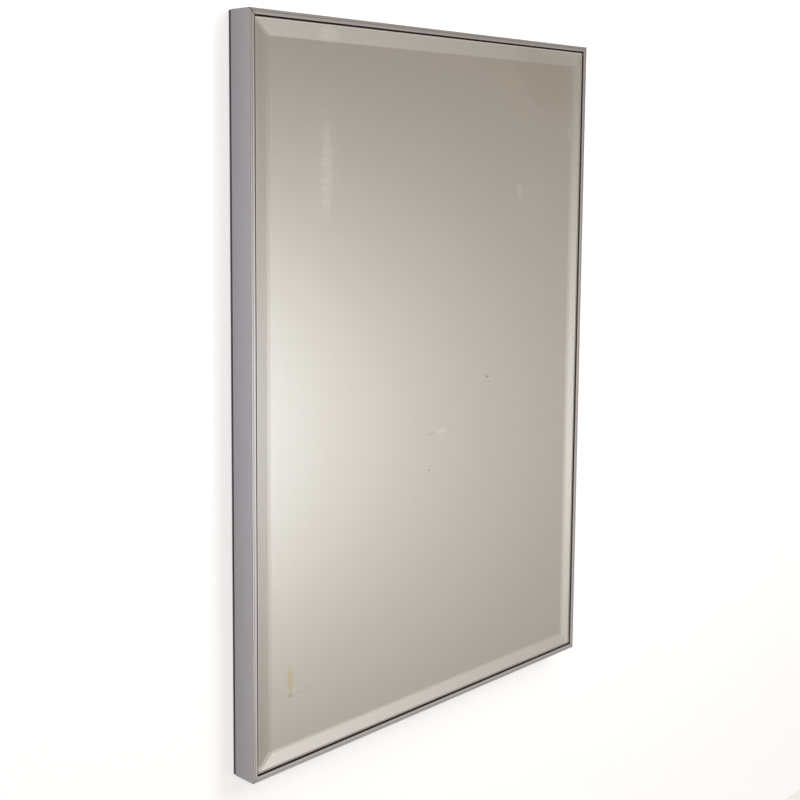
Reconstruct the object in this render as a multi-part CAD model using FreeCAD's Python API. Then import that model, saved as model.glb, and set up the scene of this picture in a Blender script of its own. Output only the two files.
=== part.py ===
"""Floating frame holding a bevelled wall mirror, as an assembly of separate pieces, in millimetres.

+X is the width, +Z is up and -Y is the front. The origin is the centre of the plane that rests on the wall.
Four mitred aluminium rails are locked by plate keys. A black carrier board is screwed to the rails' flange
from behind, the mirror is taped to its front so that a shadow gap runs all round the glass, and two D-rings
on a batten carry the weight.
"""

import math
import os

import FreeCAD
import Part
from FreeCAD import Vector

# Overall size, over the rails' outer faces and from the wall to the rails' front edge
overall_width = 640.0
overall_height = 914.0
overall_depth = 38.0

# Rail section: u runs inwards from the outer face, v runs forwards from the wall
rail_wall = 1.6
face_width = 7.0
outer_arris_radius = 1.2
inner_arris_radius = 0.6
key_channel_width = 18.4
key_channel_depth = 6.6
key_slot_width = 8.5
flange_reach = 12.4
rear_return_width = 6.0
rear_corner_radius = 0.5
mitre_gap = 0.2

# Wall strips under the rails' rear returns
strip_width = 5.0
strip_thickness = 4.0

# Mirror
glass_thickness = 5.0
bevel_width = 20.0
bevel_drop = 1.5
glass_arris = 0.4
shadow_gap = 2.0
glass_setback = 0.1
silver_clearance = 0.02
silver_thickness = 0.1
paint_thickness = 0.1
tape_thickness = 1.1
tape_width = 19.0
tape_margin = 30.0
tape_count = 6

# Carrier board
board_thickness = 9.0
board_fit = 0.4

# Corner keys, shims and their set screws
key_thickness = 3.0
shim_thickness = 1.0
key_leg = 60.0
key_fit = 0.2
key_corner_cut = 4.0
set_screw_radius = 2.5
set_screw_inset = 0.3
set_screw_spacing = 16.0
set_screw_end = 10.0
hex_across_flats = 2.5
hex_depth = 2.4
thread_fit = 0.05

# Wood screws: (shank radius, shank length, head radius, head height)
board_screw = (1.75, 8.6, 3.6, 2.2)
batten_screw = (2.0, 18.0, 4.0, 2.4)
hanger_screw = (1.75, 11.0, 3.3, 2.0)
screw_hole_fit = 0.3
screw_tip_length = 2.5
screw_tip_radius = 0.35
drive_slot_width = 0.9
drive_slot_depth = 1.1
drive_slot_share = 1.2
board_screws_across = 3
board_screws_up = 4
board_screw_corner = 95.0

# Battens on the back of the carrier board
batten_thickness = 12.0
batten_height = 44.0
batten_fit = 0.5
batten_edge_radius = 1.5
batten_screw_count = 5
batten_screw_margin = 105.0
lower_batten_rise = 200.0

# Hangers: a folded steel strap with an eye, and the D-ring that turns in it
hang_drop = 200.0
hanger_inset = 80.0
eye_below_batten_top = 4.5
strap_width = 14.0
strap_sheet = 1.0
strap_tail = 36.0
strap_end_radius = 4.0
strap_hole_drops = (9.5, 26.0)
ring_wire_radius = 1.5
ring_running_clearance = 0.08
ring_half_width = 11.5
ring_corner_radius = 3.0
ring_bow_rise = 4.5

# How far a cutting tool runs past what it cuts
cut_margin = 1.0

# Levels forwards of the wall, which follow from the sizes above
rail_rear = strip_thickness
glass_front = overall_depth - glass_setback
glass_back = glass_front - glass_thickness
silver_front = glass_back - silver_clearance
silver_back = silver_front - silver_thickness
paint_back = silver_back - paint_thickness
board_front = paint_back - tape_thickness
board_back = board_front - board_thickness
flange_back = board_back - rail_wall
channel_rear = flange_back - key_channel_depth
lip_rear = channel_rear - rail_wall
batten_back = board_back - batten_thickness

# Distances inwards from the outer face
channel_inner = rail_wall + key_channel_width
channel_outer = channel_inner + rail_wall
flange_end = channel_outer + flange_reach
slot_centre = rail_wall + key_channel_width / 2
board_edge = face_width + board_fit
glass_edge = face_width + shadow_gap
board_screw_line = channel_outer + flange_reach / 2

# Hanger places
eye_outer_radius = ring_wire_radius + ring_running_clearance + strap_sheet
eye_height = overall_height / 2 - hang_drop
eye_depth = batten_back - eye_outer_radius
hanger_x = overall_width / 2 - hanger_inset
upper_batten_top = eye_height + eye_below_batten_top
upper_batten_centre = upper_batten_top - batten_height / 2
lower_batten_centre = -overall_height / 2 + lower_batten_rise

SIDES = ("bottom", "top", "left", "right")
CORNERS = {"bottom_left": (-1, -1), "bottom_right": (1, -1), "top_left": (-1, 1), "top_right": (1, 1)}


def outline(corners):
    """A closed wire through (a, b) or (a, b, radius) corners; a radius rounds its corner with an arc."""
    points = [Vector(c[0], c[1], 0) for c in corners]
    radii = [c[2] if len(c) > 2 else 0.0 for c in corners]
    count = len(points)
    starts, ends, arcs = [], [], []
    for i, corner in enumerate(points):
        before = (points[i - 1] - corner).normalize()
        after = (points[(i + 1) % count] - corner).normalize()
        if not radii[i]:
            starts.append(corner)
            ends.append(corner)
            arcs.append(None)
            continue
        half_turn = before.getAngle(after) / 2
        reach = radii[i] / math.tan(half_turn)
        middle = (before + after).normalize() * (radii[i] / math.sin(half_turn) - radii[i])
        starts.append(corner + before * reach)
        ends.append(corner + after * reach)
        arcs.append(Part.Arc(starts[i], corner + middle, ends[i]).toShape())
    edges = []
    for i in range(count):
        if arcs[i]:
            edges.append(arcs[i])
        edges.append(Part.LineSegment(ends[i], starts[(i + 1) % count]).toShape())
    return Part.Wire(edges)


def slab(width, height, back, front, across=0.0, up=0.0):
    """A plate centred at (across, up), standing from one level to another forwards of the wall."""
    corner = Vector(across - width / 2, -front, up - height / 2)
    return Part.makeBox(width, front - back, height, corner)


def bar_along_x(section, length, up=0.0):
    """A section drawn as (height, level forwards of the wall), run along X about the middle."""
    face = Part.Face(section)
    turn = FreeCAD.Matrix(0, 0, 1, -length / 2, 0, -1, 0, 0, 1, 0, 0, up, 0, 0, 0, 1)
    face.Placement = FreeCAD.Placement(turn)
    return face.extrude(Vector(length, 0, 0))


def stacked_rectangles(levels):
    """A solid through centred rectangles, each given as its half width, half height and level."""
    rings = []
    for half_width, half_height, level in levels:
        signs = ((-1, -1), (1, -1), (1, 1), (-1, 1))
        rings.append([Vector(sx * half_width, -level, sz * half_height) for sx, sz in signs])
    outlines = [rings[0], rings[-1]]
    for low, high in zip(rings, rings[1:]):
        outlines += [[low[i], low[(i + 1) % 4], high[(i + 1) % 4], high[i]] for i in range(4)]
    faces = [Part.Face(Part.makePolygon(points + points[:1])) for points in outlines]
    solid = Part.Solid(Part.makeShell(faces))
    if solid.Volume < 0:
        solid.reverse()
    return solid


def cylinder_forward(radius, back, front, across, up):
    """A round bar along the depth, from one level to another forwards of the wall."""
    return Part.makeCylinder(radius, front - back, Vector(across, -back, up), Vector(0, -1, 0))


def rail_length(side):
    return overall_width if side in ("bottom", "top") else overall_height


def place_on_side(shape, side):
    """Moves a shape drawn as the bottom rail, its outer face at height 0, to one side of the frame."""
    turn, shift = {
        "bottom": (0, Vector(0, 0, -overall_height / 2)),
        "top": (180, Vector(0, 0, overall_height / 2)),
        "left": (90, Vector(-overall_width / 2, 0, 0)),
        "right": (-90, Vector(overall_width / 2, 0, 0)),
    }[side]
    placed = shape.copy()
    placed.rotate(Vector(0, 0, 0), Vector(0, 1, 0), turn)
    placed.translate(shift)
    return placed


def mitred_bar(section, side, end_gap):
    """A (u, v) section run along one side of the frame, with each end cut at 45 degrees."""
    length = rail_length(side)
    bar = bar_along_x(section, length)
    reach = overall_depth * 2
    for end in (-1, 1):
        tip = end * (length / 2 - end_gap)
        outside, inside = tip + end * reach, tip - end * reach
        points = [Vector(outside, reach, -reach), Vector(inside, reach, reach), Vector(outside, reach, reach)]
        cutter = Part.Face(Part.makePolygon(points + points[:1])).extrude(Vector(0, -2 * reach, 0))
        bar = bar.cut(cutter)
    return bar


def rail_section():
    """The extrusion: a closed nose, a flange for the board, a slotted key channel and a rear return."""
    lip = (key_channel_width - key_slot_width) / 2
    channel_back = rail_rear + rail_wall
    corners = [
        (0, rail_rear, rear_corner_radius),
        (0, overall_depth, outer_arris_radius),
        (face_width, overall_depth, inner_arris_radius),
        (face_width, board_back),
        (flange_end, board_back),
        (flange_end, flange_back),
        (channel_outer, flange_back),
        (channel_outer, lip_rear),
        (channel_inner - lip, lip_rear),
        (channel_inner - lip, channel_rear),
        (channel_inner, channel_rear),
        (channel_inner, flange_back),
        (rail_wall, flange_back),
        (rail_wall, channel_rear),
        (rail_wall + lip, channel_rear),
        (rail_wall + lip, lip_rear),
        (rail_wall, lip_rear),
        (rail_wall, channel_back),
        (rear_return_width, channel_back),
        (rear_return_width, rail_rear),
    ]
    return outline(corners)


def nose_hollow_section():
    inner, outer = rail_wall, face_width - rail_wall
    back, front = board_back, overall_depth - rail_wall
    return outline([(inner, back), (inner, front), (outer, front), (outer, back)])


def board_screw_places(side):
    """Where the board screws stand along one side, and how far in from its outer face."""
    count = board_screws_across if side in ("bottom", "top") else board_screws_up
    span = rail_length(side) - 2 * board_screw_corner
    return [-span / 2 + span * i / (count - 1) for i in range(count)]


def board_screw_points():
    """(across, up) of every board screw."""
    points = []
    for side in SIDES:
        for along in board_screw_places(side):
            if side in ("bottom", "top"):
                end = -1 if side == "bottom" else 1
                points.append((along, end * (overall_height / 2 - board_screw_line)))
            else:
                end = -1 if side == "left" else 1
                points.append((end * (overall_width / 2 - board_screw_line), along))
    return points


def rail(side):
    bar = mitred_bar(rail_section(), side, mitre_gap / 2)
    bar = bar.cut(bar_along_x(nose_hollow_section(), rail_length(side)))
    for along in board_screw_places(side):
        radius = board_screw[0] + screw_hole_fit
        rear, front = flange_back - cut_margin, board_back + cut_margin
        hole = cylinder_forward(radius, rear, front, along, board_screw_line)
        bar = bar.cut(hole)
    return place_on_side(bar, side)


def wall_strip(side):
    start = (rear_return_width - strip_width) / 2
    end = start + strip_width
    section = outline([(start, 0), (start, strip_thickness), (end, strip_thickness), (end, 0)])
    return place_on_side(mitred_bar(section, side, mitre_gap / 2), side)


def key_plate(corner, back, front):
    """An L-shaped plate in one corner's two channels, with its outer corner cut off."""
    sx, sz = CORNERS[corner]
    near = rail_wall + key_fit
    far = channel_inner - key_fit
    end = key_leg
    plan = [
        (near + key_corner_cut, near),
        (end, near),
        (end, far),
        (far, far),
        (far, end),
        (near, end),
        (near, near + key_corner_cut),
    ]
    x_edge, z_edge = sx * overall_width / 2, sz * overall_height / 2
    points = [Vector(x_edge - sx * a, -back, z_edge - sz * b) for a, b in plan]
    return Part.Face(Part.makePolygon(points + points[:1])).extrude(Vector(0, back - front, 0))


def set_screw_points(corner):
    """(across, up) of the set screws of one corner, two on each leg, on the channel slot's centre line."""
    sx, sz = CORNERS[corner]
    x_edge, z_edge = sx * overall_width / 2, sz * overall_height / 2
    points = []
    for i in range(2):
        along = key_leg - set_screw_end - i * set_screw_spacing
        points.append((x_edge - sx * along, z_edge - sz * slot_centre))
        points.append((x_edge - sx * slot_centre, z_edge - sz * along))
    return points


def corner_key(corner):
    """The tapped plate, which bears on the channel's lips."""
    plate = key_plate(corner, channel_rear, channel_rear + key_thickness)
    for across, up in set_screw_points(corner):
        hole = cylinder_forward(set_screw_radius, channel_rear - cut_margin, flange_back, across, up)
        plate = plate.cut(hole)
    return plate


def corner_shim(corner):
    """The thin plate that the set screws press on the channel's floor."""
    return key_plate(corner, flange_back - shim_thickness, flange_back)


def set_screw(across, up):
    rear = channel_rear + set_screw_inset
    tip = flange_back - shim_thickness
    screw = cylinder_forward(set_screw_radius - thread_fit, rear, tip, across, up)
    hex_radius = hex_across_flats / math.sqrt(3)
    corners = []
    for i in range(6):
        angle = math.radians(60 * i)
        a, b = hex_radius * math.cos(angle), hex_radius * math.sin(angle)
        corners.append(Vector(across + a, -rear, up + b))
    socket = Part.Face(Part.makePolygon(corners + corners[:1])).extrude(Vector(0, -hex_depth, 0))
    return screw.cut(socket)


def corner_key_screws():
    return Part.Compound([set_screw(x, z) for corner in CORNERS for x, z in set_screw_points(corner)])


def wood_screw(size, seat, across, up):
    """A round-headed screw with a cross slot, its head on a surface at level seat and its tip forwards."""
    shank_radius, shank_length, head_radius, head_height = size
    dome_radius = (head_radius**2 + head_height**2) / (2 * head_height)
    centre = Vector(across, -(seat - head_height + dome_radius), up)
    ball = Part.makeSphere(dome_radius, centre)
    head = ball.common(cylinder_forward(head_radius, seat - head_height, seat, across, up))
    shank = cylinder_forward(shank_radius, seat, seat + shank_length - screw_tip_length, across, up)
    tip_base = Vector(across, -(seat + shank_length - screw_tip_length), up)
    tip = Part.makeCone(shank_radius, screw_tip_radius, screw_tip_length, tip_base, Vector(0, -1, 0))
    screw = head.fuse([shank, tip]).removeSplitter()
    top, slot_length = seat - head_height, head_radius * drive_slot_share
    for width, height in ((slot_length, drive_slot_width), (drive_slot_width, slot_length)):
        screw = screw.cut(slab(width, height, top - cut_margin, top + drive_slot_depth, across, up))
    return screw


def pilot_hole(size, seat, across, up):
    """The hole that a wood screw fills, cut a little longer and wider than its shank."""
    radius, length = size[0] + thread_fit, size[1] + thread_fit
    return cylinder_forward(radius, seat - cut_margin, seat + length, across, up)


def batten_screw_points(centre_height):
    span = overall_width - 2 * batten_screw_margin
    step = span / (batten_screw_count - 1)
    return [(-span / 2 + step * i, centre_height) for i in range(batten_screw_count)]


def hanger_screw_points():
    return [(end * hanger_x, eye_height - drop) for end in (-1, 1) for drop in strap_hole_drops]


def batten(centre_height):
    """A wooden bar on the board's back, between the rails' flanges, with its rear long edges eased."""
    length = overall_width - 2 * (flange_end + batten_fit)
    half = batten_height / 2
    section = outline([
        (-half, batten_back, batten_edge_radius),
        (-half, board_back),
        (half, board_back),
        (half, batten_back, batten_edge_radius),
    ])
    return bar_along_x(section, length, centre_height)


def drilled_batten(centre_height, hangers):
    bar = batten(centre_height)
    for across, up in batten_screw_points(centre_height):
        bar = bar.cut(pilot_hole(batten_screw, batten_back, across, up))
    for across, up in hanger_screw_points() if hangers else []:
        bar = bar.cut(pilot_hole(hanger_screw, batten_back - 2 * strap_sheet, across, up))
    return bar


def carrier_board():
    board = slab(overall_width - 2 * board_edge, overall_height - 2 * board_edge, board_back, board_front)
    for across, up in board_screw_points():
        board = board.cut(pilot_hole(board_screw, flange_back, across, up))
    for centre in (upper_batten_centre, lower_batten_centre):
        for across, up in batten_screw_points(centre):
            board = board.cut(pilot_hole(batten_screw, batten_back, across, up))
    return board


def mirror_glass():
    """The plate, with a wide bevel ground round its front and the sharp edge taken off."""
    half_width, half_height = overall_width / 2 - glass_edge, overall_height / 2 - glass_edge
    bevel_edge = glass_front - bevel_drop
    return stacked_rectangles([
        (half_width, half_height, glass_back),
        (half_width, half_height, bevel_edge - glass_arris),
        (half_width - glass_arris, half_height - glass_arris, bevel_edge),
        (half_width - bevel_width, half_height - bevel_width, glass_front),
    ])


def coating(back, front):
    """A layer that covers the whole back of the glass."""
    return slab(overall_width - 2 * glass_edge, overall_height - 2 * glass_edge, back, front)


def mounting_tape():
    """Upright strips of double-sided foam tape between the painted back of the glass and the board."""
    half_span = overall_width / 2 - glass_edge - tape_margin - tape_width / 2
    height = overall_height - 2 * (glass_edge + tape_margin)
    strips = []
    for i in range(tape_count):
        across = -half_span + 2 * half_span * i / (tape_count - 1)
        strips.append(slab(tape_width, height, board_front, paint_back, across))
    return Part.Compound(strips)


def hanger_strap(end):
    """A strip folded round the ring's straight leg and laid double on the batten."""
    across = end * hanger_x
    tail_end = eye_height - strap_tail
    tail_rear = batten_back - 2 * strap_sheet
    eye_start = Vector(across - strap_width / 2, -eye_depth, eye_height)
    eye = Part.makeCylinder(eye_outer_radius, strap_width, eye_start, Vector(1, 0, 0))
    tail = slab(strap_width, strap_tail, tail_rear, batten_back, across, eye_height - strap_tail / 2)
    through_edges = [edge for edge in tail.Edges if edge.BoundBox.YLength > strap_sheet]
    end_edges = [edge for edge in through_edges if edge.BoundBox.ZMax < tail_end + strap_end_radius]
    tail = tail.makeFillet(strap_end_radius, end_edges)
    strap = eye.fuse(tail).removeSplitter()
    bore_radius = ring_wire_radius + ring_running_clearance
    strap = strap.cut(Part.makeCylinder(bore_radius, strap_width, eye_start, Vector(1, 0, 0)))
    for drop in strap_hole_drops:
        radius = hanger_screw[0] + screw_hole_fit
        rear, front = tail_rear - cut_margin, batten_back + cut_margin
        strap = strap.cut(cylinder_forward(radius, rear, front, across, eye_height - drop))
    return strap


def d_ring(end):
    """A wire D whose straight leg turns in the strap's eye; at rest it stands up, held by its wall hook."""
    across, depth, base = end * hanger_x, -eye_depth, eye_height

    def at(a, b):
        return Vector(across + a, depth, base + b)

    half, corner, rise = ring_half_width, ring_corner_radius, ring_bow_rise
    bend = corner * (1 - math.sqrt(0.5))
    edges = [
        Part.LineSegment(at(corner - half, 0), at(half - corner, 0)).toShape(),
        Part.Arc(at(half - corner, 0), at(half - bend, bend), at(half, corner)).toShape(),
        Part.LineSegment(at(half, corner), at(half, rise)).toShape(),
        Part.Arc(at(half, rise), at(0, rise + half), at(-half, rise)).toShape(),
        Part.LineSegment(at(-half, rise), at(-half, corner)).toShape(),
        Part.Arc(at(-half, corner), at(bend - half, bend), at(corner - half, 0)).toShape(),
    ]
    section = Part.Wire([Part.Circle(at(corner - half, 0), Vector(1, 0, 0), ring_wire_radius).toShape()])
    return Part.Wire(edges).makePipeShell([section], True, True)


def screws(size, seat, points):
    return Part.Compound([wood_screw(size, seat, across, up) for across, up in points])


def save(name, shape):
    for solid in shape.Solids:
        if not solid.isValid() or solid.Volume <= 0:
            raise ValueError(f"{name} has a bad solid")
    shape.exportStep(f"parts/{name}.step")


def main():
    os.makedirs("parts", exist_ok=True)
    for side in SIDES:
        save(f"{side}_rail", rail(side))
        save(f"{side}_wall_strip", wall_strip(side))
    for corner in CORNERS:
        save(f"{corner}_corner_key", corner_key(corner))
        save(f"{corner}_corner_shim", corner_shim(corner))
    save("corner_key_screws", corner_key_screws())
    save("mirror_glass", mirror_glass())
    save("silver_coat", coating(silver_back, silver_front))
    save("backing_paint", coating(paint_back, silver_back))
    save("mounting_tape", mounting_tape())
    save("carrier_board", carrier_board())
    save("carrier_board_screws", screws(board_screw, flange_back, board_screw_points()))
    save("hanging_batten", drilled_batten(upper_batten_centre, True))
    save("lower_batten", drilled_batten(lower_batten_centre, False))
    batten_points = batten_screw_points(upper_batten_centre) + batten_screw_points(lower_batten_centre)
    save("batten_screws", screws(batten_screw, batten_back, batten_points))
    for name, end in (("left", -1), ("right", 1)):
        save(f"{name}_hanger_strap", hanger_strap(end))
        save(f"{name}_d_ring", d_ring(end))
    save("hanger_screws", screws(hanger_screw, batten_back - 2 * strap_sheet, hanger_screw_points()))


main()
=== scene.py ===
import math

import bpy
from mathutils import Matrix, Vector


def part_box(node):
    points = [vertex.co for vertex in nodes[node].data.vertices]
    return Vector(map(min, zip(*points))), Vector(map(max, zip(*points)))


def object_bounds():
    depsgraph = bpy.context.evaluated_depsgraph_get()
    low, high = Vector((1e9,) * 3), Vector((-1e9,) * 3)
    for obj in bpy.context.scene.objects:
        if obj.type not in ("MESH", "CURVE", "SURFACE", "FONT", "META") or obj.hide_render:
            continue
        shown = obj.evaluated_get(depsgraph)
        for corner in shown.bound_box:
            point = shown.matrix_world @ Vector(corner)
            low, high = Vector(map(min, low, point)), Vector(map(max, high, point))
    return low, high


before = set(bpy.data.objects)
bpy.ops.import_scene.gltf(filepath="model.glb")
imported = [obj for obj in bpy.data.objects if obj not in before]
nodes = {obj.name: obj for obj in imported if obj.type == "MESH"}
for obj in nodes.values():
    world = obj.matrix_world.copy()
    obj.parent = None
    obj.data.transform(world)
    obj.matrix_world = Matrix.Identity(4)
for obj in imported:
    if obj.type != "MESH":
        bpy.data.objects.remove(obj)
cadLow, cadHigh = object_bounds()
print("frame loaded:", len(nodes), "nodes")

size = cadHigh - cadLow
middle = (cadLow + cadHigh) / 2


def addNode(tree, kind, **settings):
    node = tree.nodes.new(kind)
    for name, value in settings.items():
        setattr(node, name, value)
    return node


def feed(tree, value, socket):  # links an output, or sets a plain value
    if isinstance(value, bpy.types.NodeSocket):
        tree.links.new(value, socket)
    elif value is not None:
        socket.default_value = value


def calc(tree, operation, a, b=None, c=None, clamp=False):
    node = addNode(tree, "ShaderNodeMath", operation=operation, use_clamp=clamp)
    for i, value in enumerate((a, b, c)):
        feed(tree, value, node.inputs[i])
    return node.outputs[0]


def remap(tree, value, fromLow, fromHigh, toLow=0.0, toHigh=1.0, smooth=False):
    node = addNode(tree, "ShaderNodeMapRange", clamp=True)
    node.interpolation_type = "SMOOTHSTEP" if smooth else "LINEAR"
    for name, number in (("Value", value), ("From Min", fromLow), ("From Max", fromHigh)):
        feed(tree, number, node.inputs[name])
    feed(tree, toLow, node.inputs["To Min"])
    feed(tree, toHigh, node.inputs["To Max"])
    return node.outputs["Result"]


def blendColors(tree, share, a, b, mode="MIX"):
    node = addNode(tree, "ShaderNodeMix", data_type="RGBA", blend_type=mode)
    feed(tree, share, node.inputs["Factor"])
    feed(tree, a, node.inputs["A"])
    feed(tree, b, node.inputs["B"])
    return node.outputs["Result"]


def noise(tree, vector, scale, detail=4.0, roughness=0.5, distortion=0.0):
    node = addNode(tree, "ShaderNodeTexNoise")
    feed(tree, vector, node.inputs["Vector"])
    feed(tree, scale, node.inputs["Scale"])
    feed(tree, detail, node.inputs["Detail"])
    feed(tree, roughness, node.inputs["Roughness"])
    feed(tree, distortion, node.inputs["Distortion"])
    return node.outputs["Fac"]


def stretched(tree, vector, factors):
    node = addNode(tree, "ShaderNodeVectorMath", operation="MULTIPLY")
    feed(tree, vector, node.inputs[0])
    feed(tree, factors, node.inputs[1])
    return node.outputs["Vector"]


def newGroup(name, inputs, outputs):
    group = bpy.data.node_groups.new(name, "ShaderNodeTree")
    for label, kind, value in inputs:
        socket = group.interface.new_socket(label, in_out="INPUT", socket_type=kind)
        if value is not None:
            socket.default_value = value
    for label, kind in outputs:
        group.interface.new_socket(label, in_out="OUTPUT", socket_type=kind)
    given = group.nodes.new("NodeGroupInput").outputs
    out = group.nodes.new("NodeGroupOutput").inputs
    return group, given, out


def place(tree, group, **values):  # puts a group in a material with its own values
    node = addNode(tree, "ShaderNodeGroup", node_tree=group)
    for name, value in values.items():
        feed(tree, value, node.inputs[name])
    return node.outputs


def rgb(r, g, b):
    return (r, g, b, 1.0)


def axes(tree, vector):  # the vector's three parts, by letter
    node = addNode(tree, "ShaderNodeSeparateXYZ")
    feed(tree, vector, node.inputs[0])
    return node.outputs


def insets(tree, split, low, high):  # how far in from the nearer side, and from the nearer end
    depths = []
    for axis, i in (("X", 0), ("Z", 2)):
        offset = calc(tree, "SUBTRACT", split[axis], (low[i] + high[i]) / 2)
        away = calc(tree, "ABSOLUTE", offset)
        depths.append(calc(tree, "SUBTRACT", (high[i] - low[i]) / 2, away))
    return depths


def layer(tree, color, mask, share, tint):  # lays a tint over a colour where the mask is
    return blendColors(tree, calc(tree, "MULTIPLY", mask, share), color, tint)


def makeGrainLines():  # fine lines left by drawing or brushing, along one direction
    group, given, out = newGroup(
        "grainLines",
        [("Vector", "NodeSocketVector", None), ("Stretch", "NodeSocketVector", (1.0, 60.0, 60.0)),
         ("Scale", "NodeSocketFloat", 20.0), ("Contrast", "NodeSocketFloat", 1.0)],
        [("Lines", "NodeSocketFloat"), ("Streaks", "NodeSocketFloat")])
    along = stretched(group, given["Vector"], given["Stretch"])
    fine = noise(group, along, given["Scale"], 5.0, 0.65)
    wide = noise(group, along, calc(group, "MULTIPLY", given["Scale"], 0.17), 2.0, 0.5)
    centred = calc(group, "SUBTRACT", fine, 0.5)
    lines = calc(group, "MULTIPLY_ADD", centred, given["Contrast"], 0.5, clamp=True)
    group.links.new(lines, out["Lines"])
    group.links.new(remap(group, wide, 0.35, 0.65, smooth=True), out["Streaks"])
    return group


def makeEdgeMask():  # where a surface turns sharply, broken up by noise
    group, given, out = newGroup(
        "edgeMask",
        [("Vector", "NodeSocketVector", None), ("Reach", "NodeSocketFloat", 0.001),
         ("Breakup", "NodeSocketFloat", 0.4), ("Scale", "NodeSocketFloat", 300.0)],
        [("Edge", "NodeSocketFloat")])
    rounded = addNode(group, "ShaderNodeBevel", samples=6)
    feed(group, given["Reach"], rounded.inputs["Radius"])
    flat = addNode(group, "ShaderNodeNewGeometry")
    dot = addNode(group, "ShaderNodeVectorMath", operation="DOT_PRODUCT")
    feed(group, rounded.outputs["Normal"], dot.inputs[0])
    feed(group, flat.outputs["Normal"], dot.inputs[1])
    turn = remap(group, dot.outputs["Value"], 0.995, 0.8, smooth=True)
    patches = noise(group, given["Vector"], given["Scale"], 3.0, 0.6)
    keep = remap(group, patches, 0.35, 0.65, calc(group, "SUBTRACT", 1.0, given["Breakup"]), 1.0)
    group.links.new(calc(group, "MULTIPLY", turn, keep, clamp=True), out["Edge"])
    return group


def makeSpecks():  # scattered small spots with soft edges
    group, given, out = newGroup(
        "specks",
        [("Vector", "NodeSocketVector", None), ("Scale", "NodeSocketFloat", 100.0),
         ("Share", "NodeSocketFloat", 0.1), ("Radius", "NodeSocketFloat", 0.2)],
        [("Specks", "NodeSocketFloat")])
    cells = addNode(group, "ShaderNodeTexVoronoi", feature="F1")
    feed(group, given["Vector"], cells.inputs["Vector"])
    feed(group, given["Scale"], cells.inputs["Scale"])
    pick = addNode(group, "ShaderNodeSeparateColor")
    feed(group, cells.outputs["Color"], pick.inputs[0])
    chosen = calc(group, "LESS_THAN", pick.outputs[0], given["Share"])
    radius = calc(group, "MULTIPLY", given["Radius"], calc(group, "ADD", pick.outputs[1], 0.3))
    spot = remap(group, cells.outputs["Distance"], radius, 0.0, smooth=True)
    group.links.new(calc(group, "MULTIPLY", chosen, spot), out["Specks"])
    return group


def makeBlotches():  # broad soft variation, as of handling, haze or uneven plating
    group, given, out = newGroup(
        "blotches",
        [("Vector", "NodeSocketVector", None), ("Scale", "NodeSocketFloat", 6.0),
         ("Low", "NodeSocketFloat", 0.35), ("High", "NodeSocketFloat", 0.7)],
        [("Blotches", "NodeSocketFloat")])
    cloud = noise(group, given["Vector"], given["Scale"], 5.0, 0.55, 0.4)
    group.links.new(remap(group, cloud, given["Low"], given["High"], smooth=True), out["Blotches"])
    return group


scuffSets = ((0.5, 0.0), (1.35, 3.1), (2.4, 7.7))  # each set's turn in radians, and its shift


def makeScuffs():  # sparse hairline scratches that cross in several directions
    group, given, out = newGroup(
        "scuffs",
        [("Vector", "NodeSocketVector", None), ("Scale", "NodeSocketFloat", 12.0),
         ("Thickness", "NodeSocketFloat", 0.02)],
        [("Scuffs", "NodeSocketFloat")])
    total = None
    for turn, shift in scuffSets:
        mapping = addNode(group, "ShaderNodeMapping")
        mapping.inputs["Rotation"].default_value = (0.0, turn, turn * 0.3)
        mapping.inputs["Location"].default_value = (shift, shift, -shift)
        mapping.inputs["Scale"].default_value = (1.0, 1.0, 9.0)
        feed(group, given["Vector"], mapping.inputs["Vector"])
        field = noise(group, mapping.outputs["Vector"], given["Scale"], 1.0, 0.4)
        away = calc(group, "ABSOLUTE", calc(group, "SUBTRACT", field, 0.5))
        line = remap(group, away, given["Thickness"], 0.0)
        patchScale = calc(group, "MULTIPLY", given["Scale"], 0.9 + shift)
        rare = remap(group, noise(group, given["Vector"], patchScale, 1.0), 0.62, 0.72)
        line = calc(group, "MULTIPLY", line, rare)
        total = line if total is None else calc(group, "MAXIMUM", total, line)
    group.links.new(total, out["Scuffs"])
    return group


grainLines = makeGrainLines()
edgeMask = makeEdgeMask()
specks = makeSpecks()
blotches = makeBlotches()
scuffs = makeScuffs()
print("shared effects ready")


def newMaterial(name, **constants):
    material = bpy.data.materials.new(name)
    material.use_nodes = True
    tree = material.node_tree
    tree.nodes.clear()
    shader = addNode(tree, "ShaderNodeBsdfPrincipled")
    output = addNode(tree, "ShaderNodeOutputMaterial")
    tree.links.new(shader.outputs[0], output.inputs["Surface"])
    for socket, value in constants.items():
        shader.inputs[socket.replace("_", " ")].default_value = value
    here = addNode(tree, "ShaderNodeTexCoord").outputs["Object"]
    return material, tree, shader.inputs, here


def bumpFrom(tree, height, inputs, strength, distance):
    bump = addNode(tree, "ShaderNodeBump")
    feed(tree, height, bump.inputs["Height"])
    bump.inputs["Strength"].default_value = strength
    bump.inputs["Distance"].default_value = distance
    tree.links.new(bump.outputs["Normal"], inputs["Normal"])


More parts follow.
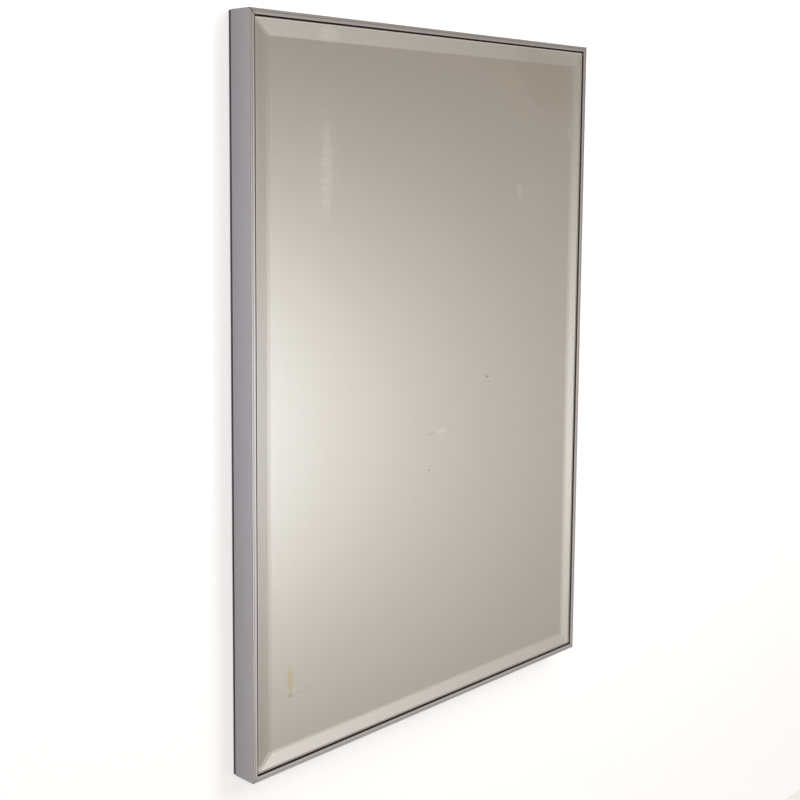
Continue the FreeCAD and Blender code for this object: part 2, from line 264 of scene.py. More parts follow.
rail = {
    "colorFront": rgb(0.81, 0.815, 0.840),
    # painted shade: the rear of the rails, by the wall, is darker than the front
    "colorRearShade": rgb(0.625, 0.615, 0.665),
    "colorEdge": rgb(0.95, 0.95, 0.96),
    "colorGrain": rgb(0.45, 0.44, 0.48),
    "colorCloud": rgb(0.62, 0.60, 0.66),
    "colorSpeck": rgb(0.3, 0.29, 0.31),
    "colorShadeLine": rgb(0.25, 0.24, 0.26),
    "colorSeam": rgb(0.06, 0.055, 0.05),
    "grainShare": 0.16,
    "cloudShare": 0.12,
    "edgeShare": 0.55,
    "speckShare": 0.5,
    "lineShare": 0.52,
    "seamShare": 0.9,
    "roughness": 0.27,
    "grainScale": 30.0,
    "grainStretch": 55.0,
    "edgeReach": 0.0007,
    "lineInset": 0.0030,
    "lineHalfWidth": 0.0014,
    "lineReach": (0.0015, 0.0005),  # behind the front edge, from none to full
    "seamHalfWidth": 0.0011,
    "seamCore": 0.4,  # share of the seam's width that is fully dirty
    "seamReach": (0.003, 0.001),
    "seamRight": 0.25,  # how dirty the right and the bottom mitres are, next to the others
    "seamBottom": 0.45,
    "seamBlend": 0.1,  # how far each side of the middle that changes over
    "frontShare": 0.08,  # share of the depth that has the front's colour; behind it the colour darkens towards the rear as painted shade
    "streakRoughness": 0.06,
    "cloudRoughness": 0.05,
    "edgeRoughness": -0.08,
    "bump": (0.12, 0.00008),  # strength and depth
}


def outerArrisShadeLine(tree, split):  # painted shade: a fine dark line on the front, just inside the outer arris
    inward = calc(tree, "MINIMUM", *insets(tree, split, cadLow, cadHigh))
    away = calc(tree, "ABSOLUTE", calc(tree, "SUBTRACT", inward, rail["lineInset"]))
    line = remap(tree, away, rail["lineHalfWidth"], 0.0, smooth=True)
    start, full = rail["lineReach"]
    front = remap(tree, split["Y"], cadLow.y + start, cadLow.y + full)
    return calc(tree, "MULTIPLY", line, front)


def mitreSeam(tree, split):  # dirt held in the mitre joints, most of it at the top left
    away = calc(tree, "ABSOLUTE", calc(tree, "SUBTRACT", *insets(tree, split, cadLow, cadHigh)))
    line = remap(tree, away, rail["seamHalfWidth"], rail["seamHalfWidth"] * rail["seamCore"])
    start, full = rail["seamReach"]
    front = remap(tree, split["Y"], cadLow.y + start, cadLow.y + full)
    blend = rail["seamBlend"]
    left = remap(tree, split["X"], blend, -blend, rail["seamRight"], 1.0)
    top = remap(tree, split["Z"], -blend, blend, rail["seamBottom"], 1.0)
    where = calc(tree, "MULTIPLY", left, top)
    return calc(tree, "MULTIPLY", calc(tree, "MULTIPLY", line, front), where)


def makeRailMetal(name, along):  # along is the axis that the rail was drawn along
    material, tree, inputs, here = newMaterial(name, Metallic=1.0)
    stretch = [rail["grainStretch"]] * 3
    stretch[along] = 1.0
    lines = place(tree, grainLines, Vector=here, Stretch=stretch,
                  Scale=rail["grainScale"], Contrast=1.3)
    cloud = place(tree, blotches, Vector=here, Scale=7.0, Low=0.3, High=0.75)["Blotches"]
    edge = place(tree, edgeMask, Vector=here, Reach=rail["edgeReach"],
                 Breakup=0.3, Scale=220.0)["Edge"]
    dots = place(tree, specks, Vector=here, Scale=160.0, Share=0.06, Radius=0.16)["Specks"]
    split = axes(tree, here)
    # painted shade: the rails darken from the front towards the rear edge by the wall, mostly on
    # the side faces
    outOfRearShade = remap(tree, split["Y"], cadHigh.y, cadLow.y + size.y * rail["frontShare"])
    grain = remap(tree, lines["Lines"], 0.0, 1.0, rail["grainShare"], 0.0)
    color = blendColors(tree, outOfRearShade, rail["colorRearShade"], rail["colorFront"])
    color = blendColors(tree, grain, color, rail["colorGrain"])
    color = layer(tree, color, cloud, rail["cloudShare"], rail["colorCloud"])
    color = layer(tree, color, edge, rail["edgeShare"], rail["colorEdge"])
    color = layer(tree, color, dots, rail["speckShare"], rail["colorSpeck"])
    # painted shade: a fine dark line just inside the outer arris
    color = layer(tree, color, outerArrisShadeLine(tree, split), rail["lineShare"], rail["colorShadeLine"])
    color = layer(tree, color, mitreSeam(tree, split), rail["seamShare"], rail["colorSeam"])
    feed(tree, color, inputs["Base Color"])
    streaky = rail["streakRoughness"]
    rough = calc(tree, "MULTIPLY_ADD", lines["Streaks"], streaky, rail["roughness"] - streaky / 2)
    rough = calc(tree, "MULTIPLY_ADD", cloud, rail["cloudRoughness"], rough)
    rough = calc(tree, "MULTIPLY_ADD", edge, rail["edgeRoughness"], rough)
    feed(tree, rough, inputs["Roughness"])
    bumpFrom(tree, lines["Lines"], inputs, *rail["bump"])
    return material


mirror = {
    "glassTint": rgb(0.985, 0.995, 0.988),
    "glassWiped": rgb(0.97, 0.985, 0.975),
    "glassIndex": 1.52,
    "rimPaintedHighlight": rgb(0.085, 0.084, 0.080),  # painted highlight: a faint glow along the glass's front rim
    "rimReach": (0.0019, 0.0008),  # in from the glass's edge, from none to full
    "silverColor": rgb(0.872, 0.867, 0.853),
    "silverDull": rgb(0.83, 0.82, 0.785),
    "hazeColor": rgb(0.99, 0.99, 0.99),
    "speckColor": rgb(0.42, 0.38, 0.30),
    "wipeShare": 0.25,
    "wipeRoughness": 0.01,
    "dullShare": 0.10,
    "hazeShare": 0.10,
    "speckShare": 0.7,
    "hairShare": 0.25,
    "silverRoughness": 0.01,
    "dullRoughness": 0.02,
    "crumbStretch": (0.3, 1.0, 2.6),
    "crumbScale": 110.0,
    "crumbReach": (0.40, 0.58),  # where a mark's broken parts start and are whole
}


def glassRim(tree, here):  # the outermost line of the glass's front
    nearest = calc(tree, "MINIMUM", *insets(tree, axes(tree, here), *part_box("mirror_glass")))
    line = remap(tree, nearest, *mirror["rimReach"], smooth=True)
    facing = axes(tree, addNode(tree, "ShaderNodeNewGeometry").outputs["Normal"])
    front = calc(tree, "LESS_THAN", facing["Y"], -0.5)
    return calc(tree, "MULTIPLY", line, front)


def makeGlass():
    material, tree, inputs, here = newMaterial(
        "bevelledGlass", Metallic=0.0, Transmission_Weight=1.0, IOR=mirror["glassIndex"])
    wipe = place(tree, blotches, Vector=here, Scale=9.0, Low=0.45, High=0.8)["Blotches"]
    tint = layer(tree, mirror["glassTint"], wipe, mirror["wipeShare"], mirror["glassWiped"])
    feed(tree, tint, inputs["Base Color"])
    feed(tree, calc(tree, "MULTIPLY", wipe, mirror["wipeRoughness"]), inputs["Roughness"])
    # painted highlight: the glass's front rim glows faintly
    glow = blendColors(tree, glassRim(tree, here), rgb(0.0, 0.0, 0.0), mirror["rimPaintedHighlight"])
    feed(tree, glow, inputs["Emission Color"])
    inputs["Emission Strength"].default_value = 1.0
    return material


# old marks in the silvering, and painted reflections of a lamp: centre across and up, half sizes,
# lean, colour, strength, breakup
silverMarksAndLampReflections = [  # metres and radians
    # painted reflection of a lamp: a soft vertical streak, its two bright cores, and its double in
    # the bevel near the top
    ((-0.205, 0.290), (0.034, 0.095), 0.0, rgb(1.0, 0.99, 0.98), 0.25, 0.3),
    ((-0.199, 0.278), (0.0120, 0.072), 0.0, rgb(1.0, 1.0, 1.0), 0.85, 0.65),
    ((-0.198, 0.290), (0.0080, 0.052), 0.0, rgb(1.0, 1.0, 1.0), 0.90, 0.60),
    ((-0.196, 0.436), (0.022, 0.013), 0.0, rgb(1.0, 1.0, 1.0), 0.7, 0.3),
    ((0.171, 0.2477), (0.008, 0.013), 0.0, rgb(1.0, 1.0, 0.99), 0.7, 0.4),
    ((0.205, 0.243), (0.050, 0.045), 0.0, rgb(1.0, 0.99, 0.98), 0.18, 0.5),
    ((0.285, 0.330), (0.007, 0.012), 0.0, rgb(1.0, 0.99, 0.98), 0.8, 0.4),
    ((0.230, 0.410), (0.105, 0.062), -0.5, rgb(0.74, 0.71, 0.69), 0.42, 0.3),
    ((0.150, 0.385), (0.070, 0.016), -0.75, rgb(0.92, 0.90, 0.74), 0.35, 0.5),
    ((-0.0090, -0.0745), (0.013, 0.0036), 0.05, rgb(0.74, 0.71, 0.62), 0.50, 0.3),
    ((0.012, -0.0735), (0.015, 0.0036), 0.05, rgb(1.0, 1.0, 0.99), 0.70, 0.3),
    ((0.106, -0.0090), (0.0038, 0.0020), 0.3, rgb(0.30, 0.29, 0.27), 0.7, 0.7),
    ((0.111, -0.0165), (0.0030, 0.0018), 0.3, rgb(0.34, 0.32, 0.29), 0.6, 0.7),
    ((-0.0119, -0.1234), (0.0022, 0.0022), 0.0, rgb(0.36, 0.33, 0.26), 0.75, 0.3),
    ((-0.2585, -0.3440), (0.0065, 0.0220), 0.05, rgb(0.86, 0.77, 0.46), 0.70, 0.3),
    ((-0.2590, -0.3640), (0.0060, 0.0040), 0.0, rgb(0.60, 0.50, 0.26), 0.65, 0.5),
    ((-0.2400, -0.3640), (0.0230, 0.0022), 0.04, rgb(0.72, 0.66, 0.56), 0.30, 0.6),
]


def softMark(tree, split, centre, half, lean, breakup, cloud):
    x = calc(tree, "SUBTRACT", split["X"], centre[0])
    z = calc(tree, "SUBTRACT", split["Z"], centre[1])
    along = calc(tree, "MULTIPLY_ADD", z, math.sin(lean), calc(tree, "MULTIPLY", x, math.cos(lean)))
    up = calc(tree, "MULTIPLY_ADD", z, math.cos(lean), calc(tree, "MULTIPLY", x, -math.sin(lean)))
    squares = []
    for offset, reach in ((along, half[0]), (up, half[1])):
        ratio = calc(tree, "DIVIDE", calc(tree, "ABSOLUTE", offset), reach)
        squares.append(calc(tree, "POWER", ratio, 2.0))
    spot = remap(tree, calc(tree, "ADD", *squares), 1.0, 0.0, smooth=True)
    whole = remap(tree, cloud, *mirror["crumbReach"], 1.0 - breakup, 1.0)
    return calc(tree, "MULTIPLY", spot, whole)


def makeSilver():
    material, tree, inputs, here = newMaterial("silvering", Metallic=1.0)
    cloud = place(tree, blotches, Vector=here, Scale=3.0, Low=0.4, High=0.75)["Blotches"]
    wiped = place(tree, grainLines, Vector=here, Stretch=(1.0, 1.0, 0.18),
                  Scale=14.0, Contrast=1.0)
    dots = place(tree, specks, Vector=here, Scale=26.0, Share=0.035, Radius=0.05)["Specks"]
    hairs = place(tree, scuffs, Vector=here, Scale=5.0, Thickness=0.006)["Scuffs"]
    color = layer(tree, mirror["silverColor"], cloud, mirror["dullShare"], mirror["silverDull"])
    color = layer(tree, color, wiped["Streaks"], mirror["hazeShare"], mirror["hazeColor"])
    color = layer(tree, color, dots, mirror["speckShare"], mirror["speckColor"])
    color = layer(tree, color, hairs, mirror["hairShare"], mirror["hazeColor"])
    split = axes(tree, here)
    drawn = stretched(tree, here, mirror["crumbStretch"])
    crumbs = noise(tree, drawn, mirror["crumbScale"], 3.0, 0.6)
    # lays the old marks and the painted lamp reflections on the silver
    for centre, half, lean, tint, strength, breakup in silverMarksAndLampReflections:
        mark = softMark(tree, split, centre, half, lean, breakup, crumbs)
        color = layer(tree, color, mark, strength, tint)
    feed(tree, color, inputs["Base Color"])
    rough = calc(tree, "MULTIPLY_ADD", cloud, mirror["dullRoughness"], mirror["silverRoughness"])
    feed(tree, rough, inputs["Roughness"])
    return material


paint = {
    "dark": rgb(0.20, 0.21, 0.23),
    "light": rgb(0.27, 0.28, 0.30),
    "roughness": 0.55,
    "cloudRoughness": 0.1,
    "pitScale": 900.0,
    "bump": (0.2, 0.0002),
}


def makePaint():
    material, tree, inputs, here = newMaterial("backingPaint", IOR=1.45)
    cloud = place(tree, blotches, Vector=here, Scale=12.0, Low=0.3, High=0.7)["Blotches"]
    feed(tree, blendColors(tree, cloud, paint["dark"], paint["light"]), inputs["Base Color"])
    rough = calc(tree, "MULTIPLY_ADD", cloud, paint["cloudRoughness"], paint["roughness"])
    feed(tree, rough, inputs["Roughness"])
    bumpFrom(tree, noise(tree, here, paint["pitScale"], 3.0), inputs, *paint["bump"])
    return material


tape = {
    "dark": rgb(0.68, 0.68, 0.66),
    "light": rgb(0.84, 0.84, 0.82),
    "cellScale": 1400.0,
    "roughness": 0.85,
    "bump": (0.4, 0.0003),
}


def makeTape():
    material, tree, inputs, here = newMaterial("foamTape", Roughness=tape["roughness"])
    cells = noise(tree, here, tape["cellScale"], 2.0, 0.7)
    feed(tree, blendColors(tree, cells, tape["dark"], tape["light"]), inputs["Base Color"])
    bumpFrom(tree, cells, inputs, *tape["bump"])
    return material


rubber = {
    "dark": rgb(0.014, 0.014, 0.015),
    "light": rgb(0.032, 0.031, 0.033),
    "crumb": rgb(0.10, 0.10, 0.10),
    "wallSideLight": rgb(0.34, 0.33, 0.34),
    "crumbShare": 0.35,
    "wallSideLightShare": 0.5,
    "wallSideLightReach": 0.003,  # painted light, forwards of the wall
    "roughness": 0.62,
    "cloudRoughness": 0.15,
    "pitScale": 1800.0,
    "bump": (0.3, 0.0002),
}


def makeRubber():
    material, tree, inputs, here = newMaterial("stripRubber", IOR=1.45)
    cloud = place(tree, blotches, Vector=here, Scale=25.0, Low=0.35, High=0.7)["Blotches"]
    dots = place(tree, specks, Vector=here, Scale=500.0, Share=0.2, Radius=0.3)["Specks"]
    color = blendColors(tree, cloud, rubber["dark"], rubber["light"])
    color = layer(tree, color, dots, rubber["crumbShare"], rubber["crumb"])
    # painted light: the strip turns lighter grey over its last 3 mm towards the wall
    wallSideLit = remap(tree, axes(tree, here)["Y"], cadHigh.y - rubber["wallSideLightReach"], cadHigh.y,
                  0.0, rubber["wallSideLightShare"], smooth=True)
    color = blendColors(tree, wallSideLit, color, rubber["wallSideLight"])
    feed(tree, color, inputs["Base Color"])
    rough = calc(tree, "MULTIPLY_ADD", cloud, rubber["cloudRoughness"], rubber["roughness"])
    feed(tree, rough, inputs["Roughness"])
    bumpFrom(tree, noise(tree, here, rubber["pitScale"], 3.0), inputs, *rubber["bump"])
    return material


board = {
    "dark": rgb(0.010, 0.0095, 0.009),
    "light": rgb(0.042, 0.039, 0.036),
    "haze": rgb(0.05, 0.047, 0.043),
    "fleck": rgb(0.11, 0.10, 0.09),
    "scuff": rgb(0.14, 0.13, 0.12),
    "hazeShare": 0.35,
    "fleckShare": 0.3,
    "scuffShare": 0.35,
    "fibreStretch": (1.0, 1.6, 1.0),
    "fibreScale": 700.0,
    "roughness": 0.55,
    "fibreRoughness": 0.25,
    "bump": (0.35, 0.0003),
}


def makeBoard():
    material, tree, inputs, here = newMaterial("blackBoard", IOR=1.4)
    pressed = stretched(tree, here, board["fibreStretch"])
    fibres = noise(tree, pressed, board["fibreScale"], 5.0, 0.7, 1.2)
    cloud = place(tree, blotches, Vector=here, Scale=8.0, Low=0.3, High=0.75)["Blotches"]
    dots = place(tree, specks, Vector=here, Scale=350.0, Share=0.12, Radius=0.25)["Specks"]
    marks = place(tree, scuffs, Vector=here, Scale=9.0, Thickness=0.012)["Scuffs"]
    color = blendColors(tree, fibres, board["dark"], board["light"])
    color = layer(tree, color, cloud, board["hazeShare"], board["haze"])
    color = layer(tree, color, dots, board["fleckShare"], board["fleck"])
    color = layer(tree, color, marks, board["scuffShare"], board["scuff"])
    feed(tree, color, inputs["Base Color"])
    rough = calc(tree, "MULTIPLY_ADD", fibres, board["fibreRoughness"], board["roughness"])
    feed(tree, rough, inputs["Roughness"])
    bumpFrom(tree, fibres, inputs, *board["bump"])
    return material


wood = {
    "early": rgb(0.66, 0.47, 0.28),
    "late": rgb(0.50, 0.31, 0.155),
    "pore": rgb(0.30, 0.17, 0.08),
    "patch": rgb(0.56, 0.37, 0.20),
    "edge": rgb(0.74, 0.56, 0.36),
    "ringScale": 24.0,
    "ringStretch": (0.10, 1.0, 1.0),
    "ringDistortion": 6.0,
    "poreStretch": (4.0, 160.0, 160.0),
    "poreScale": 14.0,
    "poreShare": 0.35,
    "patchShare": 0.2,
    "edgeShare": 0.3,
    "roughness": 0.45,
    "poreRoughness": 0.2,
    "bump": (0.3, 0.0002),
}


def makeWood():
    material, tree, inputs, here = newMaterial("planedWood", IOR=1.45)
    drawn = stretched(tree, here, wood["ringStretch"])
    warp = noise(tree, drawn, 16.0, 2.0)
    rings = addNode(tree, "ShaderNodeTexWave", wave_type="RINGS", rings_direction="X")
    feed(tree, drawn, rings.inputs["Vector"])
    rings.inputs["Scale"].default_value = wood["ringScale"]
    rings.inputs["Distortion"].default_value = wood["ringDistortion"]
    rings.inputs["Detail"].default_value = 2.0
    rings.inputs["Detail Scale"].default_value = 1.2
    warped = calc(tree, "MULTIPLY_ADD", warp, 0.3, rings.outputs["Fac"])
    band = remap(tree, warped, 0.35, 1.2, smooth=True)
    pores = noise(tree, stretched(tree, here, wood["poreStretch"]), wood["poreScale"], 3.0, 0.6)
    dark = remap(tree, pores, 0.5, 0.75, 0.0, wood["poreShare"])
    cloud = place(tree, blotches, Vector=here, Scale=9.0, Low=0.3, High=0.75)["Blotches"]
    edge = place(tree, edgeMask, Vector=here, Reach=0.001, Breakup=0.6, Scale=120.0)["Edge"]
    color = blendColors(tree, band, wood["early"], wood["late"])
    color = blendColors(tree, dark, color, wood["pore"])
    color = layer(tree, color, cloud, wood["patchShare"], wood["patch"])
    color = layer(tree, color, edge, wood["edgeShare"], wood["edge"])
    feed(tree, color, inputs["Base Color"])
    rough = calc(tree, "MULTIPLY_ADD", pores, wood["poreRoughness"], wood["roughness"])
    feed(tree, rough, inputs["Roughness"])
    grooves = calc(tree, "ADD", pores, calc(tree, "MULTIPLY", band, 0.5))
    bumpFrom(tree, grooves, inputs, *wood["bump"])
    return material


plating = {
    "zincPlate": {"bright": rgb(0.62, 0.63, 0.66), "dull": rgb(0.42, 0.43, 0.46),
                  "roughness": 0.34, "grain": 220.0},
    "zincScrew": {"bright": rgb(0.74, 0.68, 0.52), "dull": rgb(0.50, 0.45, 0.33),
                  "roughness": 0.28, "grain": 700.0},
    "nickelPlate": {"bright": rgb(0.78, 0.75, 0.70), "dull": rgb(0.60, 0.57, 0.52),
                    "roughness": 0.2, "grain": 900.0},
}
platingWear = {
    "edge": rgb(0.86, 0.85, 0.83),
    "scratch": rgb(0.9, 0.9, 0.88),
    "spangleShare": 0.5,
    "dullShare": 0.4,
    "edgeShare": 0.5,
    "scratchShare": 0.4,
    "cloudRoughness": 0.12,
    "spangleRoughness": 0.06,
    "pitScale": 1500.0,
    "bump": (0.12, 0.0001),
}


def makePlatedSteel(name):
    coat, wear = plating[name], platingWear
    material, tree, inputs, here = newMaterial(name, Metallic=1.0)
    spangle = addNode(tree, "ShaderNodeTexVoronoi", feature="F1")
    feed(tree, here, spangle.inputs["Vector"])
    spangle.inputs["Scale"].default_value = coat["grain"]
    tone = addNode(tree, "ShaderNodeSeparateColor")
    feed(tree, spangle.outputs["Color"], tone.inputs[0])
    cloud = place(tree, blotches, Vector=here, Scale=60.0, Low=0.35, High=0.75)["Blotches"]
    edge = place(tree, edgeMask, Vector=here, Reach=0.0004, Breakup=0.4, Scale=500.0)["Edge"]
    marks = place(tree, scuffs, Vector=here, Scale=60.0, Thickness=0.015)["Scuffs"]
    color = layer(tree, coat["bright"], tone.outputs[0], wear["spangleShare"], coat["dull"])
    color = layer(tree, color, cloud, wear["dullShare"], coat["dull"])
    color = layer(tree, color, edge, wear["edgeShare"], wear["edge"])
    color = layer(tree, color, marks, wear["scratchShare"], wear["scratch"])
    feed(tree, color, inputs["Base Color"])
    rough = calc(tree, "MULTIPLY_ADD", cloud, wear["cloudRoughness"], coat["roughness"])
    rough = calc(tree, "MULTIPLY_ADD", tone.outputs[1], wear["spangleRoughness"], rough)
    feed(tree, rough, inputs["Roughness"])
    bumpFrom(tree, noise(tree, here, wear["pitScale"], 2.0), inputs, *wear["bump"])
    return material


oxide = {
    "dark": rgb(0.05, 0.05, 0.055),
    "light": rgb(0.10, 0.095, 0.10),
    "worn": rgb(0.35, 0.34, 0.34),
    "wornShare": 0.5,
    "roughness": 0.35,
    "cloudRoughness": 0.15,
}


def makeBlackOxide():
    material, tree, inputs, here = newMaterial("blackOxide", Metallic=0.85)
    cloud = place(tree, blotches, Vector=here, Scale=200.0, Low=0.35, High=0.7)["Blotches"]
    edge = place(tree, edgeMask, Vector=here, Reach=0.0003, Breakup=0.4, Scale=600.0)["Edge"]
    color = blendColors(tree, cloud, oxide["dark"], oxide["light"])
    color = layer(tree, color, edge, oxide["wornShare"], oxide["worn"])
    feed(tree, color, inputs["Base Color"])
    rough = calc(tree, "MULTIPLY_ADD", cloud, oxide["cloudRoughness"], oxide["roughness"])
    feed(tree, rough, inputs["Roughness"])
    return material


railAcross = makeRailMetal("railMetalAcross", 0)
railUp = makeRailMetal("railMetalUp", 2)
zinc = makePlatedSteel("zincPlate")
nickel = makePlatedSteel("nickelPlate")
finishes = {  # by a node's whole name, or by how it ends
    "wall_strip": makeRubber(),
    "corner_key": zinc,
    "corner_shim": zinc,
    "corner_key_screws": makeBlackOxide(),
    "mirror_glass": makeGlass(),
    "silver_coat": makeSilver(),
    "backing_paint": makePaint(),
    "mounting_tape": makeTape(),
    "carrier_board": makeBoard(),
    "batten": makeWood(),
    "screws": makePlatedSteel("zincScrew"),
    "hanger_strap": nickel,
    "d_ring": nickel,
}


def finishFor(name):
    if name.endswith("_rail"):
        return railAcross if name.startswith(("top", "bottom")) else railUp
    if name in finishes:
        return finishes[name]
    return next(finishes[ending] for ending in finishes if name.endswith(ending))


for name, node in nodes.items():
    node.data.materials.clear()
    node.data.materials.append(finishFor(name))
print("materials on", len(nodes), "nodes")


stage = {  # a pale floor, and a white wall that only shows from its front
    "floorDrop": 0.55,
    "reach": 6.0,
    "wallColor": rgb(0.45, 0.45, 0.45),
    "wallGlow": 0.64,
    "wallClearance": 0.0005,
    "floorColor": rgb(0.84, 0.84, 0.83),
    "floorWorn": rgb(0.8, 0.8, 0.79),
    "wornShare": 0.08,
    "floorWhite": rgb(1.0, 1.0, 0.99),
    "floorNear": 0.9,  # the floor's own white rises between these distances
    "floorFar": 3.2,
    "floorGlowNear": 0.05,
    "floorGlowFar": 0.80,
    "hiddenFrom": ("glossy", "diffuse", "transmission", "shadow"),
}


def sheetMesh(name, corners):
    mesh = bpy.data.meshes.new(name)
    mesh.from_pydata([tuple(c) for c in corners], [], [(0, 1, 2, 3)])
    sheet = bpy.data.objects.new(name, mesh)
    bpy.context.scene.collection.objects.link(sheet)
    return sheet


def makeStage():
    floorLevel = cadLow.z - stage["floorDrop"]
    reach, wallLine = stage["reach"], cadHigh.y + stage["wallClearance"]
    floor = sheetMesh("studioFloor", [
        (-reach, -reach, floorLevel), (reach, -reach, floorLevel),
        (reach, reach, floorLevel), (-reach, reach, floorLevel)])
    wall = sheetMesh("studioWall", [
        (-reach, wallLine, floorLevel), (reach, wallLine, floorLevel),
        (reach, wallLine, reach), (-reach, wallLine, reach)])
    floorPaint, tree, inputs, here = newMaterial("palePaint", Roughness=0.8)
    cloud = place(tree, blotches, Vector=here, Scale=1.5, Low=0.2, High=0.8)["Blotches"]
    pale = layer(tree, stage["floorColor"], cloud, stage["wornShare"], stage["floorWorn"])
    feed(tree, pale, inputs["Base Color"])
    length = addNode(tree, "ShaderNodeVectorMath", operation="LENGTH")
    feed(tree, stretched(tree, here, (1.0, 1.0, 0.0)), length.inputs[0])
    own = remap(tree, length.outputs["Value"], stage["floorNear"], stage["floorFar"],
                stage["floorGlowNear"], stage["floorGlowFar"], smooth=True)
    glow = blendColors(tree, own, rgb(0.0, 0.0, 0.0), stage["floorWhite"])
    feed(tree, glow, inputs["Emission Color"])
    inputs["Emission Strength"].default_value = 1.0
    floor.data.materials.append(floorPaint)
    wallPaint, tree, inputs = newMaterial(
        "wallPaint", Roughness=0.9, Base_Color=stage["wallColor"])[:3]
    inputs["Specular IOR Level"].default_value = 0.0
    inputs["Emission Color"].default_value = rgb(1.0, 1.0, 1.0)
    inputs["Emission Strength"].default_value = stage["wallGlow"]
    clear = addNode(tree, "ShaderNodeBsdfTransparent")
    choose = addNode(tree, "ShaderNodeMixShader")
    side = addNode(tree, "ShaderNodeNewGeometry")
    painted = next(n for n in tree.nodes if n.type == "BSDF_PRINCIPLED")
    output = next(n for n in tree.nodes if n.type == "OUTPUT_MATERIAL")
    tree.links.new(side.outputs["Backfacing"], choose.inputs[0])
    tree.links.new(painted.outputs[0], choose.inputs[1])
    tree.links.new(clear.outputs[0], choose.inputs[2])
    tree.links.new(choose.outputs[0], output.inputs["Surface"])
    wall.data.materials.append(wallPaint)
    for sheet in (floor, wall):
        for rays in stage["hiddenFrom"]:
            setattr(sheet, "visible_" + rays, False)


makeStage()


room = {  # soft glows for the reflections
    "base": rgb(0.257, 0.209, 0.166),
    "seen": rgb(1.0, 1.0, 1.0),  # what shows past the wall and the floor
    # azimuth and height of each glow in degrees, its spread both ways, strength and colour
    "glows": [
        (25.0, -11.4, 16.2, 9.5, 1.83, (1.0, 1.0, 1.0)),
        (-139.0, -8.0, 50.0, 30.0, 0.26, (0.92, 0.99, 1.22)),
        (-98.0, -4.0, 16.0, 30.0, 0.42, (1.0, 1.0, 1.04)),
        (0.0, 90.0, 400.0, 30.0, 0.12, (1.0, 1.0, 1.0)),
        (110.0, 0.0, 35.0, 40.0, 0.45, (1.0, 0.99, 0.97)),
    ],
    "falloff": 0.7,
}


def makeRoom():
    world = bpy.data.worlds.new("softRoom")
    bpy.context.scene.world = world
    world.use_nodes = True
    tree = world.node_tree
    tree.nodes.clear()
    where = addNode(tree, "ShaderNodeTexCoord").outputs["Generated"]
    unit = addNode(tree, "ShaderNodeVectorMath", operation="NORMALIZE")
    feed(tree, where, unit.inputs[0])
    split = axes(tree, unit.outputs[0])
    forwards = calc(tree, "MULTIPLY", split["Y"], -1.0)
    azimuth = calc(tree, "DEGREES", calc(tree, "ARCTAN2", split["X"], forwards))
    height = calc(tree, "DEGREES", calc(tree, "ARCSINE", split["Z"]))
    total = room["base"]
    for centre, level, wide, tall, strength, tint in room["glows"]:
        away = calc(tree, "SUBTRACT", azimuth, centre)
        turn = calc(tree, "WRAP", away, 180.0, -180.0)
        side = calc(tree, "DIVIDE", calc(tree, "ABSOLUTE", turn), wide)
        across = calc(tree, "POWER", side, 2.0)
        up = calc(tree, "ABSOLUTE", calc(tree, "SUBTRACT", height, level))
        rise = calc(tree, "POWER", calc(tree, "DIVIDE", up, tall), 2.0)
        spread = calc(tree, "POWER", calc(tree, "ADD", across, rise), room["falloff"])
        fade = calc(tree, "EXPONENT", calc(tree, "MULTIPLY", spread, -1.0))
        glow = calc(tree, "MULTIPLY", fade, strength)
        lit = addNode(tree, "ShaderNodeVectorMath", operation="SCALE")
        lit.inputs[0].default_value = tint
        feed(tree, glow, lit.inputs["Scale"])
        total = blendColors(tree, 1.0, total, lit.outputs["Vector"], mode="ADD")
    seen = addNode(tree, "ShaderNodeLightPath").outputs["Is Camera Ray"]
    background = addNode(tree, "ShaderNodeBackground")
    feed(tree, blendColors(tree, seen, total, room["seen"]), background.inputs["Color"])
    output = addNode(tree, "ShaderNodeOutputWorld")
    tree.links.new(background.outputs[0], output.inputs["Surface"])


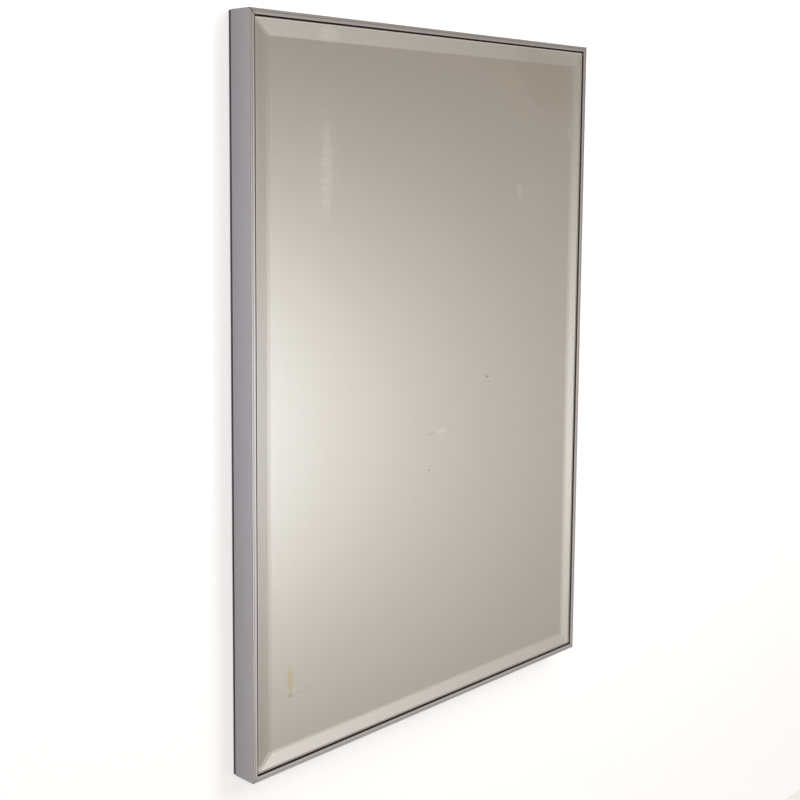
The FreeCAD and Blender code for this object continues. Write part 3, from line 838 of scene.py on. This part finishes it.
lamps = [  # name, place, aim, width, power; hidden from reflections
    ("keyLamp", (1.15, -2.2, 1.35), (0.0, 0.0, 0.0), 1.4, 40.0),
    ("fillLamp", (-1.9, -2.3, 0.6), (0.0, 0.0, -0.1), 2.4, 16.0),
    ("topLamp", (0.2, -1.8, 2.6), (0.0, 0.0, 0.0), 2.0, 30.0),
    ("rearLamp", (-1.2, 2.4, 1.2), (0.0, 0.0, 0.0), 1.6, 70.0),
]


def makeLamps():
    for name, spot, aim, width, power in lamps:
        data = bpy.data.lights.new(name, "AREA")
        data.shape, data.size, data.energy = "DISK", width, power
        lamp = bpy.data.objects.new(name, data)
        bpy.context.scene.collection.objects.link(lamp)
        lamp.location = spot
        lamp.rotation_euler = (Vector(aim) - Vector(spot)).to_track_quat("-Z", "Y").to_euler()
        lamp.visible_glossy = lamp.visible_transmission = False


makeRoom()
makeLamps()
print("stage and light ready")


camera = {
    "place": (-1.2802, -1.1583, 0.2800),  # from the middle of the frame's front edge plane
    "right": (0.69287, -0.72102, 0.00792),
    "up": (0.07539, 0.08336, 0.99366),
    "lens": 58.87,
    "sensor": 36.0,
    "shiftY": -0.1068,
    "clip": (0.01, 100.0),
}
bounces = {"max_bounces": 24, "transmission_bounces": 16, "glossy_bounces": 12}


def makeCamera():
    data = bpy.data.cameras.new("viewCamera")
    data.sensor_fit = "HORIZONTAL"
    data.sensor_width, data.lens, data.shift_y = camera["sensor"], camera["lens"], camera["shiftY"]
    data.clip_start, data.clip_end = camera["clip"]
    eye = bpy.data.objects.new("viewCamera", data)
    bpy.context.scene.collection.objects.link(eye)
    right = Vector(camera["right"]).normalized()
    back = right.cross(Vector(camera["up"])).normalized()
    up = back.cross(right)
    turn = Matrix((right, up, back)).transposed().to_4x4()
    start = Vector((middle.x, cadLow.y, middle.z)) + Vector(camera["place"])
    eye.matrix_world = Matrix.Translation(start) @ turn
    bpy.context.scene.camera = eye


makeCamera()
bpy.context.scene.view_settings.view_transform = "Standard"
bpy.context.scene.view_settings.look = "None"
for setting, count in bounces.items():
    setattr(bpy.context.scene.cycles, setting, count)
print("camera ready")
